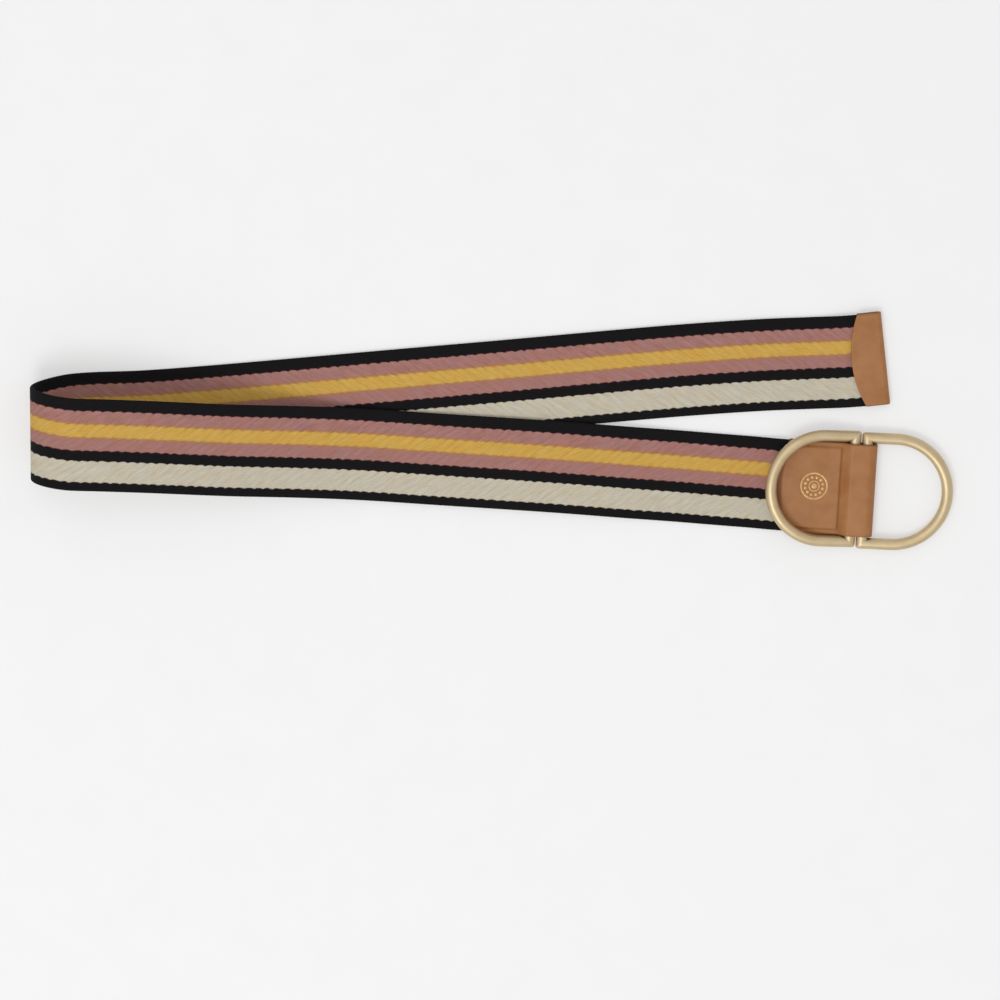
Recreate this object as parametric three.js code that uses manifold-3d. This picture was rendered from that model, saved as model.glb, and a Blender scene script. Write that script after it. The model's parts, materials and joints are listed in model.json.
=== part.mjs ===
// A striped web belt lying folded over on itself: a woven strap with a leather tip on its tail, and a
// leather tab at its other end that holds two D-rings by their straight bars.
// Millimetres, +Z up, resting on Z = 0. The fold is at -X, the tip and the rings are at +X, and the
// tail lies to +Y under the front half of the strap. The origin is the middle of the footprint.
import * as THREE from 'three';
import { mergeVertices } from 'three/addons/utils/BufferGeometryUtils.js';
import Module from 'manifold-3d';

const wasm = await Module();
wasm.setup();

// Clearance between neighbouring pieces
const gap = 0.3;

// Woven strap
const webWidth = 50;
const webThickness = 2;
const webEdgeChamfer = 0.5;

// Fold: its overall height, how far back its crest lies, and the sideways step of the strap round it
const foldHeight = 36.5;
const foldReach = 25;
const foldStep = 2.2;

// Tail and front, from the fold's outer end to the end of the tip and of the tab, with their headings
const tailLength = 458;
const tailAngle = 4.66;
const frontLength = 452.6;
const frontAngle = -4.31;

// Lengths over which the front sinks from the crest to the tail, from the tail to the table, and
// over which the strap climbs from the table into the leather
const crestFall = 170;
const tailFall = 50;
const leatherClimb = 20;

// Leather: thickness, width, lengths, and the bows of the rounded edges that face the strap
const leather = 1.2;
const leatherWidth = 50.2;
const tipLength = 18.3;
const tipBow = 5.5;
const tabLength = 50.1;
const tabBow = 3;

// The tab's lower leaf stands out beside the upper one by leafMargin and ends short of it by leafInset
const leafMargin = 1.2;
const leafInset = 0.3;

// The tip and the tab sit on the strap turned a little out of its line
const tipTurn = 1.6;
const tabTurn = 1.1;

// Raised panel pressed into the top of the tab
const panelLift = 1;
const panelSideInset = 2.5;
const panelEndInset = 2.5;
const panelBevel = 1.2;

// D-rings: wire, play beside the leather, depth from the bar's back to the arc's front, corner radius
// of the wire's centre line, how much that radius changes per millimetre across the wire, the tightest
// radius inside a corner, and the space between the two bars
const ringWire = 6.1;
const ringPlay = 0.6;
const ringDepth = 50.5;
const ringCorner = 0.6;
const cornerSpread = 0.35;
const tightestCorner = 0.15;
const barSpace = 0.5;

// Loop of the tab: slack beyond the outer bar, length over which the upper leaf drops from the bars to
// the strap, the flat beyond the raised panel, and how far short of the bars and of the tip's bend the
// strap ends
const noseSlack = 0.9;
const loopRamp = 5;
const panelFlat = 0.3;
const webSetback = 0.8;

// The rings have slid across in the loop by these shares of their free play, towards +Y
const innerSlip = 0.25;
const outerSlip = -0.45;

// Fineness of the shapes
const stationStep = 8;
const foldStations = 28;
const wireSides = 12;
const ringArcSteps = 40;
const cornerSteps = 5;
const curveSteps = 10;
const bevelSteps = 3;

// Sideways waves of the strap. along is a share of the leg's length from the fold, and side is a
// share of the strap's width, towards +Y.
const tailWaves = [
  { along: 0, side: 0 },
  { along: 0.06, side: 0.014 },
  { along: 0.13, side: -0.012 },
  { along: 0.2, side: -0.018 },
  { along: 0.44, side: -0.004 },
  { along: 0.55, side: 0.002 },
  { along: 0.75, side: 0.017 },
  { along: 0.85, side: 0.007 },
  { along: 0.96, side: -0.026 },
  { along: 1, side: -0.026 },
];
const frontWaves = [
  { along: 0, side: -0.022 },
  { along: 0.045, side: -0.018 },
  { along: 0.09, side: -0.002 },
  { along: 0.14, side: 0.004 },
  { along: 0.26, side: -0.011 },
  { along: 0.45, side: -0.006 },
  { along: 0.64, side: 0.008 },
  { along: 0.85, side: -0.006 },
  { along: 1, side: -0.006 },
];

// Derived heights and places
const wireRadius = ringWire / 2;
const slotHeight = webThickness + 2 * gap;
const leafTop = 2 * leather + slotHeight;
const channelHeight = ringWire + 2 * gap;
const loopTop = 2 * leather + channelHeight;
const barHeight = leather + gap + wireRadius;
const noseBend = tabLength - leather - gap - wireRadius;
const outerBar = noseBend - noseSlack;
const innerBar = outerBar - ringWire - barSpace;
const rampEnd = innerBar - wireRadius / 2;
const rampStart = rampEnd - loopRamp;
const webInLeather = leather + gap + webThickness / 2;
const webOnTable = webThickness / 2;
const webOnTail = webThickness + gap + webThickness / 2;
const webOnCrest = foldHeight - webThickness / 2;
const ringHalfWidth = leatherWidth / 2 + ringPlay + wireRadius;
const ringArcCentre = ringDepth - wireRadius - (ringHalfWidth + wireRadius);

const { degToRad, lerp } = THREE.MathUtils;
const tail = { angle: degToRad(tailAngle), start: foldStep / 2, length: tailLength, waves: tailWaves };
const front = { angle: degToRad(frontAngle), start: -foldStep / 2, length: frontLength, waves: frontWaves };

// Smooth value of a table's column between its rows, level at each row that is a peak
function tableValue(rows, column, along) {
  const last = rows.length - 1;
  const next = Math.min(Math.max(rows.findIndex((row) => row.along > along), 1), last);
  const place = (i) => rows[Math.min(Math.max(i, 0), last)];
  const slope = (i) => {
    const [before, here, after] = [place(i - 1), place(i), place(i + 1)];
    const rising = (after[column] - here[column]) * (here[column] - before[column]) > 0;
    return rising ? (after[column] - before[column]) / (after.along - before.along) : 0;
  };
  const [low, high] = [place(next - 1), place(next)];
  const span = high.along - low.along;
  const t = THREE.MathUtils.clamp((along - low.along) / span, 0, 1);
  const rise = high[column] - low[column];
  const bend = slope(next - 1) * span * t * (1 - t) ** 2 - slope(next) * span * t ** 2 * (1 - t);
  return low[column] + rise * t * t * (3 - 2 * t) + bend;
}

// Point of a leg's centre line, at a distance along it and a height
function legPoint(leg, distance, height) {
  const side = webWidth * tableValue(leg.waves, 'side', distance / leg.length);
  return new THREE.Vector3(
    distance * Math.cos(leg.angle) - side * Math.sin(leg.angle),
    leg.start + distance * Math.sin(leg.angle) + side * Math.cos(leg.angle),
    height,
  );
}

// Heading of a leg at a distance along it
function legHeading(leg, distance) {
  const probe = 0.5;
  const behind = legPoint(leg, distance - probe, 0);
  const ahead = legPoint(leg, distance + probe, 0);
  return Math.atan2(ahead.y - behind.y, ahead.x - behind.x);
}

// Distance from the fold at which the front half no longer lies over the tail
function partingDistance() {
  let distance = foldReach;
  const spread = () => legPoint(tail, distance, 0).y - legPoint(front, distance, 0).y;
  while (spread() < webWidth + gap && distance < frontLength) distance += 1;
  return distance;
}

// Height of a stretch of strap, given as drops that follow one another with level parts between
function easedHeight(drops, distance) {
  let height = drops[0].high;
  for (const drop of drops) {
    const t = THREE.MathUtils.clamp((distance - drop.from) / drop.over, 0, 1);
    height += (drop.low - drop.high) * (1 - Math.cos(Math.PI * t)) / 2;
  }
  return height;
}

const tipStart = tailLength - tipLength;
const tabStart = frontLength - tabLength;
const tailDrops = [
  { from: tipStart - leatherClimb, over: leatherClimb, high: webOnTable, low: webInLeather },
];
const frontDrops = [
  { from: foldReach, over: crestFall, high: webOnCrest, low: webOnTail },
  { from: partingDistance(), over: tailFall, high: webOnTail, low: webOnTable },
  { from: tabStart - leatherClimb, over: leatherClimb, high: webOnTable, low: webInLeather },
];

// Stations of one leg, evenly spaced from one distance to another
function legStations(leg, drops, from, to) {
  const count = Math.ceil(Math.abs(to - from) / stationStep);
  return Array.from({ length: count + 1 }, (_, i) => {
    const distance = lerp(from, to, i / count);
    const point = legPoint(leg, distance, easedHeight(drops, distance));
    return { point, heading: legHeading(leg, distance) };
  });
}

// Stations round the fold, a half ellipse that blends the tail's line into the front's
function foldRound() {
  const halfHeight = (webOnCrest - webOnTable) / 2;
  const halfLength = foldReach - webThickness / 2;
  return Array.from({ length: foldStations - 1 }, (_, i) => {
    const share = (i + 1) / foldStations;
    const turn = Math.PI * (share - 0.5);
    const distance = foldReach - halfLength * Math.cos(turn);
    const height = webOnTable + halfHeight * (1 + Math.sin(turn));
    const blend = share * share * (3 - 2 * share);
    const point = legPoint(tail, distance, height).lerp(legPoint(front, distance, height), blend);
    return { point, heading: lerp(tail.angle, front.angle, blend) };
  });
}

// Closed skin over a row of like outlines; a row that doesn't close on itself gets flat ends
function skin(outlines, closed) {
  const sides = outlines[0].length;
  const faces = [];
  const rows = outlines.length;
  for (let row = 0; row < (closed ? rows : rows - 1); row += 1) {
    for (let side = 0; side < sides; side += 1) {
      const next = (side + 1) % sides;
      const [a, b] = [row * sides + side, row * sides + next];
      const above = ((row + 1) % rows) * sides;
      faces.push(a, b, above + next, a, above + next, above + side);
    }
  }
  for (let side = 1; !closed && side < sides - 1; side += 1) {
    const end = (rows - 1) * sides;
    faces.push(0, side + 1, side, end, end + side, end + side + 1);
  }
  const geometry = new THREE.BufferGeometry().setFromPoints(outlines.flat());
  geometry.setIndex(faces);
  geometry.computeVertexNormals();
  return geometry;
}

// The strap: an oblong section with chamfered edges, carried through every station
function webGeometry() {
  const tailEnd = tailLength - leather - gap - webSetback;
  const frontEnd = tabStart + innerBar - wireRadius - webSetback;
  const stations = [
    ...legStations(tail, tailDrops, tailEnd, foldReach),
    ...foldRound(),
    ...legStations(front, frontDrops, foldReach, frontEnd),
  ];
  const [w, t, c] = [webWidth / 2, webThickness / 2, webEdgeChamfer];
  const section = [
    [w - c, t], [w, t - c], [w, c - t], [w - c, -t], [c - w, -t], [-w, c - t], [-w, t - c], [c - w, t],
  ];
  const last = stations.length - 1;
  const outlines = stations.map(({ point, heading }, i) => {
    const ahead = stations[Math.min(i + 1, last)].point;
    const behind = stations[Math.max(i - 1, 0)].point;
    const across = new THREE.Vector3(-Math.sin(heading), Math.cos(heading), 0);
    const inward = across.clone().cross(ahead.clone().sub(behind)).normalize();
    return section.map(([x, y]) => point.clone().addScaledVector(across, x).addScaledVector(inward, y));
  });
  return skin(outlines, false);
}

// A shape drawn along and up, extruded across the leather's width
function acrossWidth(shape, width) {
  const options = { depth: width, bevelEnabled: false, curveSegments: curveSteps };
  const geometry = new THREE.ExtrudeGeometry(shape, options);
  return geometry.rotateX(Math.PI / 2).translate(0, width / 2, 0);
}

// Plan of a leather end: straight at its nose, rounded where it faces the strap
function leatherPlan(length, width, bow) {
  const radius = (width * width / 4 + bow * bow) / (2 * bow);
  const half = Math.asin(width / 2 / radius);
  const plan = new THREE.Shape();
  plan.moveTo(length, -width / 2);
  plan.lineTo(length, width / 2);
  plan.absarc(radius, 0, radius, Math.PI - half, Math.PI + half, false);
  plan.closePath();
  return plan;
}

// Closed mesh to a solid that can be joined and cut, and back
function solidOf(geometry) {
  const bare = geometry.clone();
  bare.deleteAttribute('normal');
  bare.deleteAttribute('uv');
  const merged = mergeVertices(bare);
  return new wasm.Manifold(new wasm.Mesh({
    numProp: 3,
    vertProperties: new Float32Array(merged.attributes.position.array),
    triVerts: new Uint32Array(merged.index.array),
  }));
}

function geometryOf(solid) {
  const { vertProperties, triVerts } = solid.getMesh();
  const geometry = new THREE.BufferGeometry();
  geometry.setAttribute('position', new THREE.BufferAttribute(vertProperties, 3));
  geometry.setIndex(new THREE.BufferAttribute(triVerts, 1));
  geometry.computeVertexNormals();
  return geometry;
}

// Leather bent in two, cut to the plan of its rounded end
function foldedLeather(profile, length, top, bow) {
  const blank = solidOf(acrossWidth(profile, leatherWidth));
  const plan = leatherPlan(length, leatherWidth + 2 * gap, bow);
  const options = { depth: top + 2 * gap, bevelEnabled: false, curveSegments: 2 * curveSteps };
  const cutter = new THREE.ExtrudeGeometry(plan, options).translate(0, 0, -gap);
  return blank.intersect(solidOf(cutter));
}

// The tip: one piece of leather bent round the tail's end
function tipGeometry() {
  const profile = new THREE.Shape();
  const nose = leafTop / 2;
  profile.moveTo(0, 0);
  profile.lineTo(tipLength - nose, 0);
  profile.absarc(tipLength - nose, nose, nose, -Math.PI / 2, Math.PI / 2, false);
  profile.lineTo(0, leafTop);
  profile.lineTo(0, leather + slotHeight);
  profile.lineTo(tipLength - leather, leather + slotHeight);
  profile.lineTo(tipLength - leather, leather);
  profile.lineTo(0, leather);
  profile.closePath();
  return geometryOf(foldedLeather(profile, tipLength, leafTop, tipBow));
}

// The raised panel on the tab's upper leaf, with rounded sides, sunk a little way into the leaf
function panelSolid() {
  const outline = (inset, height) => {
    const start = panelEndInset + inset;
    const length = rampStart - panelFlat - inset - start;
    const plan = leatherPlan(length, leatherWidth - 2 * (panelSideInset + inset), tabBow);
    const points = plan.getPoints(curveSteps).slice(0, -1);
    return points.map(({ x, y }) => new THREE.Vector3(start + x, y, leafTop + height));
  };
  const rounded = Array.from({ length: bevelSteps + 1 }, (_, i) => {
    const turn = (Math.PI / 2) * (i / bevelSteps);
    return outline(panelBevel * (1 - Math.cos(turn)), panelLift * Math.sin(turn));
  });
  return solidOf(skin([outline(0, -leather / 2), ...rounded], false));
}

// The wider part of the tab's lower leaf, which ends where the loop begins
function lowerLeaf() {
  const plan = leatherPlan(rampStart - leafInset, leatherWidth + 2 * leafMargin, tabBow);
  const options = { depth: leather, bevelEnabled: false, curveSegments: 2 * curveSteps };
  return solidOf(new THREE.ExtrudeGeometry(plan, options).translate(leafInset, 0, 0));
}

// The tab: leather bent round the two bars and back over the strap's end, with the raised panel
function tabGeometry() {
  const profile = new THREE.Shape();
  const slotTop = leather + slotHeight;
  const channelTop = leather + channelHeight;
  const bend = wireRadius + gap;
  profile.moveTo(0, 0);
  profile.lineTo(noseBend, 0);
  profile.absarc(noseBend, barHeight, bend + leather, -Math.PI / 2, Math.PI / 2, false);
  profile.lineTo(rampEnd, loopTop);
  profile.lineTo(rampStart, leafTop);
  profile.lineTo(0, leafTop);
  profile.lineTo(0, slotTop);
  profile.lineTo(rampStart, slotTop);
  profile.lineTo(rampEnd, channelTop);
  profile.lineTo(noseBend, channelTop);
  profile.absarc(noseBend, barHeight, bend, Math.PI / 2, -Math.PI / 2, true);
  profile.lineTo(0, leather);
  profile.closePath();
  const folded = foldedLeather(profile, tabLength, loopTop, tabBow);
  return geometryOf(folded.add(lowerLeaf()).add(panelSolid()));
}

// Points round part of a circle, from one angle up to but not including another
function arcPoints(x, y, radius, from, to, steps) {
  return Array.from({ length: steps }, (_, i) => {
    const angle = lerp(from, to, i / steps);
    return [x + radius * Math.cos(angle), y + radius * Math.sin(angle)];
  });
}

// One line along a D-ring's skin, moved outwards from the wire's centre line: a corner, a leg, the half
// circle, the other leg and corner, and the bar, which lies on the hinge's axis
function ringLine(out) {
  const quarter = Math.PI / 2;
  const half = ringHalfWidth + out;
  const corner = Math.max(ringCorner + cornerSpread * out, tightestCorner);
  return [
    ...arcPoints(corner - out, half - corner, corner, 2 * quarter, quarter, cornerSteps),
    [corner - out, half],
    ...arcPoints(ringArcCentre, 0, half, quarter, -quarter, ringArcSteps),
    [ringArcCentre, -half],
    ...arcPoints(corner - out, corner - half, corner, 3 * quarter, 2 * quarter, cornerSteps),
    [-out, corner - half],
  ];
}

// A D-ring cast in one piece: round wire with tight corners beside the bar
function ringGeometry() {
  const lines = Array.from({ length: wireSides }, (_, side) => {
    const angle = (2 * Math.PI * side) / wireSides;
    const height = wireRadius * Math.sin(angle);
    return ringLine(wireRadius * Math.cos(angle)).map(([x, y]) => new THREE.Vector3(x, y, height));
  });
  return skin(lines[0].map((_, i) => lines.map((line) => line[i])), true);
}

// Angle above level at which the inner ring lies on the raised panel, and the angle below level at
// which the outer ring reaches the table
function restAngles() {
  const panelTop = leafTop + panelLift;
  const panelHalf = leatherWidth / 2 - panelSideInset;
  const reach = ringArcCentre + Math.sqrt(ringHalfWidth ** 2 - panelHalf ** 2);
  const inner = Math.asin((panelTop + gap + wireRadius - barHeight) / reach);
  const outer = Math.asin((barHeight - wireRadius) / (ringArcCentre + ringHalfWidth));
  return { inner, outer };
}

function piece(name, geometry, colour, roughness, metalness) {
  const material = new THREE.MeshStandardMaterial({ color: colour, roughness, metalness });
  const mesh = new THREE.Mesh(geometry, material);
  mesh.name = name;
  return mesh;
}

const webColour = 0x99726c;
const leatherColour = 0xa06e45;
const goldColour = 0xcdb996;

function leatherEnd(leg, start, turn) {
  const group = new THREE.Group();
  group.position.copy(legPoint(leg, start, 0));
  group.rotation.z = leg.angle + degToRad(turn);
  return group;
}

const belt = new THREE.Group();
belt.add(piece('web_strap', webGeometry(), webColour, 0.9, 0));

const tip = leatherEnd(tail, tipStart, tipTurn);
tip.add(piece('tail_tip', tipGeometry(), leatherColour, 0.6, 0));

const buckle = leatherEnd(front, tabStart, tabTurn);
buckle.add(piece('ring_tab', tabGeometry(), leatherColour, 0.6, 0));
const rest = restAngles();
const innerRing = piece('ring_inner', ringGeometry(), goldColour, 0.35, 1);
innerRing.position.set(innerBar, innerSlip * ringPlay, barHeight);
innerRing.rotation.y = rest.inner - Math.PI;
const outerRing = piece('ring_outer', ringGeometry(), goldColour, 0.35, 1);
outerRing.position.set(outerBar, outerSlip * ringPlay, barHeight);
outerRing.rotation.y = rest.outer;
buckle.add(innerRing, outerRing);
belt.add(tip, buckle);

// Stand the belt on the table, over the middle of its own footprint
belt.updateMatrixWorld(true);
const box = new THREE.Box3().setFromObject(belt, true);
const middle = box.getCenter(new THREE.Vector3());
for (const child of belt.children) child.position.sub(new THREE.Vector3(middle.x, middle.y, box.min.z));

export default belt;
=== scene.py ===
"""A striped web belt folded over on itself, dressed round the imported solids.

The woven strap, the leather tip, the leather tab, the two D-rings and the small rosette each have an
operator. Sizes in the panel are in metres. The lines of the belt are worked out in
millimetres, in the same layout as the solids, and moved into the frame at the end.
"""

import json
import math

import bpy
from mathutils import Matrix, Vector


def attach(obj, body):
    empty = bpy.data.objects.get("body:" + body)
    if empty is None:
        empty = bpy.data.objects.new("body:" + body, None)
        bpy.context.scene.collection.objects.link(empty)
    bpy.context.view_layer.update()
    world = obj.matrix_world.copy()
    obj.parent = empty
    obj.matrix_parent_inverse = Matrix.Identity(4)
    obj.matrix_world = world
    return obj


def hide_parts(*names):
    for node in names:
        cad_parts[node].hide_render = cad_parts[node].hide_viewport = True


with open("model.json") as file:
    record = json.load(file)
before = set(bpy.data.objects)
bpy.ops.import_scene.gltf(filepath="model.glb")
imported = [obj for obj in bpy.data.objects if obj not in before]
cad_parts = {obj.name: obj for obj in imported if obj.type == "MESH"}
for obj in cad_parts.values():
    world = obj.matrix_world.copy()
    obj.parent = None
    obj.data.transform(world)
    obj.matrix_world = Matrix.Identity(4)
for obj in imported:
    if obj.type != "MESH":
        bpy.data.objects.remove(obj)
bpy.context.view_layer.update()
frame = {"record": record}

bl_info = {
    "name": "Striped Web Belt",
    "version": (1, 0, 0),
    "blender": (4, 5, 0),
    "location": "View3D > Sidebar > Web Belt",
    "description": "Makes a striped web belt with a leather tab, two D-rings and a leather tip",
    "category": "Object",
}

MM = 0.001

# Lengths down to the stage are in millimetres, in a layout that starts at the fold's outer end.
# The clearance that stands in for glue or stitching
GAP = 0.3

# The fold: height of its crest, length of its round part, sideways step between the two halves
FOLD_HEIGHT = 36.5
FOLD_REACH = 25.0
FOLD_STEP = 2.2

# The two halves of the strap, up to the outer end of their leather
TAIL_LENGTH = 458.0
TAIL_ANGLE = math.radians(4.66)
FRONT_LENGTH = 452.6
FRONT_ANGLE = math.radians(-4.31)

# Distances over which the strap sinks from the crest, comes down off the tail, and climbs into leather
CREST_FALL = 170.0
TAIL_FALL = 50.0
LEATHER_CLIMB = 20.0

# The strap ends this far short of the bend in the leather, and each leather end is turned a little
WEB_SETBACK = 0.8
TIP_TURN = math.radians(1.6)
TAB_TURN = math.radians(1.1)

# The tab's loop: slack before its nose, room between the bars, length of the slope down to the panel
NOSE_SLACK = 0.9
BAR_SPACE = 0.5
LOOP_RAMP = 5.0

# The raised panel: distance from the slope, the sides and the end of the lower leaf
PANEL_FLAT = 0.3
PANEL_SIDE_INSET = 2.5
PANEL_END_INSET = -0.5

# The lower leaf's margin beside the upper one: where it starts and how fast it widens
LEAF_MARGIN = 1.7
LEAF_MARGIN_START = 7.0
LEAF_MARGIN_EASE = 4.0
LEAF_MARGIN_PAST_RAMP = 2.8

# The upper leaf runs this far past the lower one, and past the panel its colour is darkened this much
# as painted shade
TAB_OVERHANG = 3.4
PAINTED_SHADE_PAST_PANEL = 0.62

# Leather: radius of its rims, reach of a bowed end's effect in bows, distance between rows,
# and how its cut ends thin out, as distance from the end and share of the thickness
LEATHER_RIM = 0.45
BOW_FADE = 2.2
TIP_ROW_STEP = 0.5
TAB_ROW_STEP = 0.45
THINNED_ENDS = ((0.0, 0.3), (0.06, 0.6), (0.18, 0.85), (0.36, 1.0))

# Rings: sideways slip of each in the loop as a share of its play, and how the corners widen outwards
INNER_SLIP = 0.25
OUTER_SLIP = -0.45
CORNER_SPREAD = 0.35
TIGHTEST_CORNER = 0.15

# Weave: swing of the strap's edges with the ribs, flat part of the edges, columns and rows of the mesh
EDGE_SWING = 0.12
EDGE_FLAT = 0.05
STRAP_COLUMNS = 44
ROWS_PER_RIB = 5

# Rosette: its place on the tab, and its parts' places and radii as shares of its own radius
ROSETTE_PLACE = (17.4, 0.9)
ROSETTE_SINK = 0.02
BEAD_ROW = 0.64
BEAD_RADIUS = 0.115
INNER_RING_RADIUS = 0.36
BOSS_RADIUS = 0.2

# Stage: middle of the picture in the layout, then in metres the table's half width and the lights, with
# each light's name, place, diameter and power in watts
PICTURE_MIDDLE = (250.5, -40.5, 0)
SENSOR_WIDTH = 36.0
TABLE_REACH = 3.0
WORLD_STRENGTH = 0.72
LIGHTS = (
    ("key_light", (-0.52, -0.92, 1.95), 1.0, 15.0),
    ("fill_light", (-0.5, 1.0, 2.2), 1.6, 6.0),
)

# Sideways waves of the strap: share of the leg's length, share of the strap's width
TAIL_WAVES = (
    (0, 0), (0.06, 0.014), (0.13, -0.012), (0.2, -0.018), (0.44, -0.004), (0.55, 0.002),
    (0.75, 0.017), (0.85, 0.007), (0.96, -0.026), (1, -0.026),
)
FRONT_WAVES = (
    (0, -0.022), (0.045, -0.018), (0.09, -0.002), (0.14, 0.004), (0.26, -0.011), (0.45, -0.006),
    (0.64, 0.008), (0.85, -0.006), (1, -0.006),
)

# Step along the strap for each step across it, on a line of the twill
TWILL_LEAN = 1.25

# Stripes across the strap: share of the width from its +Y edge, and the colour that ends there
STRIPES = (
    (0.135, "black"), (0.273, "pink"), (0.414, "yellow"), (0.553, "pink"), (0.672, "black"),
    (0.9, "cream"), (1.0, "black"),
)


def srgb(red, green, blue):
    """Scene-linear colour of an 8-bit screen colour."""
    shares = (channel / 255 for channel in (red, green, blue))
    return tuple(s / 12.92 if s <= 0.04045 else ((s + 0.055) / 1.055) ** 2.4 for s in shares)


def length(name, description, default):
    """A length in metres for a settings group."""
    return bpy.props.FloatProperty(
        name=name, description=description, default=default, min=0, precision=5, unit="LENGTH"
    )


def share(name, description, default):
    """A number from 0 to 1 for a settings group."""
    return bpy.props.FloatProperty(
        name=name, description=description, default=default, min=0, max=1, subtype="FACTOR"
    )


def colour(name, description, default):
    """A colour for a settings group."""
    return bpy.props.FloatVectorProperty(
        name=name, description=description, default=default, size=3, min=0, max=1, subtype="COLOR"
    )


class StrapSettings(bpy.types.PropertyGroup):
    """Sizes and colours of the woven strap."""

    width: length("Width", "Width of the woven strap", 0.05)
    thickness: length("Thickness", "Thickness of the woven strap", 0.002)
    rib_pitch: length("Rib pitch", "Distance between two twill ribs along the strap", 0.00527)
    rib_height: length("Rib height", "Height of the twill ribs", 0.0001)
    yarn_pitch: length("Yarn pitch", "Distance between two lengthwise yarns", 0.0008)
    tooth_depth: length("Tooth depth", "Depth of the teeth where two stripes meet", 0.00055)
    black: colour("Black", "Colour of the black stripes", srgb(17, 15, 17))
    pink: colour("Pink", "Colour of the dusty pink stripes", srgb(160, 116, 109))
    yellow: colour("Yellow", "Colour of the golden stripe", srgb(199, 160, 79))
    cream: colour("Cream", "Colour of the cream stripe", srgb(192, 185, 166))


class LeatherSettings(bpy.types.PropertyGroup):
    """Sizes and colours of the leather tip and tab."""

    thickness: length("Thickness", "Thickness of one leaf of leather", 0.0012)
    width: length("Width", "Width of the tip and the tab", 0.0502)
    tip_length: length("Tip length", "Length of the tip on the tail", 0.0183)
    tip_bow: length("Tip bow", "Bow of the tip's edge that faces the strap", 0.0055)
    tab_length: length("Tab length", "Length of the tab with the loop", 0.0501)
    tab_bow: length("Tab bow", "Bow of the tab's edge that faces the strap", 0.003)
    panel_lift: length("Panel lift", "Height of the raised panel on the tab", 0.001)
    panel_bevel: length("Panel bevel", "Width of the panel's rounded edge", 0.0012)
    tan: colour("Tan", "Colour of the leather", srgb(156, 99, 47))


class RingSettings(bpy.types.PropertyGroup):
    """Sizes and finish of the two D-rings."""

    wire: length("Wire", "Thickness of the wire", 0.0061)
    play: length("Play", "Play between the leather and a ring's leg", 0.0006)
    depth: length("Depth", "Depth of a ring from its bar to its front", 0.0505)
    corner: length("Corner", "Radius of the wire's middle beside the bar", 0.0006)
    gold: colour("Gold", "Colour of the pale gold plating", srgb(210, 191, 156))
    roughness: share("Roughness", "Roughness of the plating", 0.48)


class OrnamentSettings(bpy.types.PropertyGroup):
    """Sizes of the small beaded rosette on the tab."""

    diameter: length("Diameter", "Diameter across the outer ring", 0.015)
    line: length("Line", "Width of the outer ring's line", 0.0011)
    relief: length("Relief", "Height above the leather", 0.00018)
    beads: bpy.props.IntProperty(
        name="Beads", description="Number of beads in the ring", default=12, min=3, max=40
    )
    foil: colour("Foil", "Colour of the foil", srgb(203, 164, 108))


class StageSettings(bpy.types.PropertyGroup):
    """Camera, light and floor."""

    distance: length("Camera distance", "Distance of the camera from the table", 4.5)
    tilt: bpy.props.FloatProperty(
        name="Tilt", description="Lean of the camera from straight above",
        default=math.radians(11), subtype="ANGLE",
    )
    pixels_per_metre: bpy.props.FloatProperty(
        name="Scale", description="Pixels to a metre on the table in a 1000 pixel frame",
        default=1864.0, min=1,
    )
    floor: colour("Floor", "Colour of the table", (0.47, 0.47, 0.47))
    glow: share("Glow", "Light that the pale table adds by itself", 0.395)


def strap_settings():
    return bpy.context.scene.belt_strap


def leather_settings():
    return bpy.context.scene.belt_leather


def ring_settings():
    return bpy.context.scene.belt_rings


def wave_value(rows, along):
    """Smooth value of a table between its rows, level at each row that is a peak."""
    last = len(rows) - 1
    following = next((i for i, row in enumerate(rows) if row[0] > along), last)
    following = min(max(following, 1), last)

    def slope(i):
        before, here, after = (rows[min(max(k, 0), last)] for k in (i - 1, i, i + 1))
        if (after[1] - here[1]) * (here[1] - before[1]) <= 0:
            return 0.0
        return (after[1] - before[1]) / (after[0] - before[0])

    low, high = rows[following - 1], rows[following]
    span = high[0] - low[0]
    t = min(max((along - low[0]) / span, 0.0), 1.0)
    rise = high[1] - low[1]
    bend = slope(following - 1) * span * t * (1 - t) ** 2
    bend -= slope(following) * span * t**2 * (1 - t)
    return low[1] + rise * t * t * (3 - 2 * t) + bend


class Leg:
    """One half of the strap, as a line that leaves the fold at an angle."""

    def __init__(self, angle, start, reach, waves, width):
        self.angle, self.start, self.reach, self.waves, self.width = (
            angle, start, reach, waves, width,
        )

    def point(self, distance, height):
        side = self.width * wave_value(self.waves, distance / self.reach)
        cosine, sine = math.cos(self.angle), math.sin(self.angle)
        return Vector((
            distance * cosine - side * sine,
            self.start + distance * sine + side * cosine,
            height,
        ))

    def heading(self, distance):
        probe = 0.5
        ahead = self.point(distance + probe, 0) - self.point(distance - probe, 0)
        return math.atan2(ahead.y, ahead.x)


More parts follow.
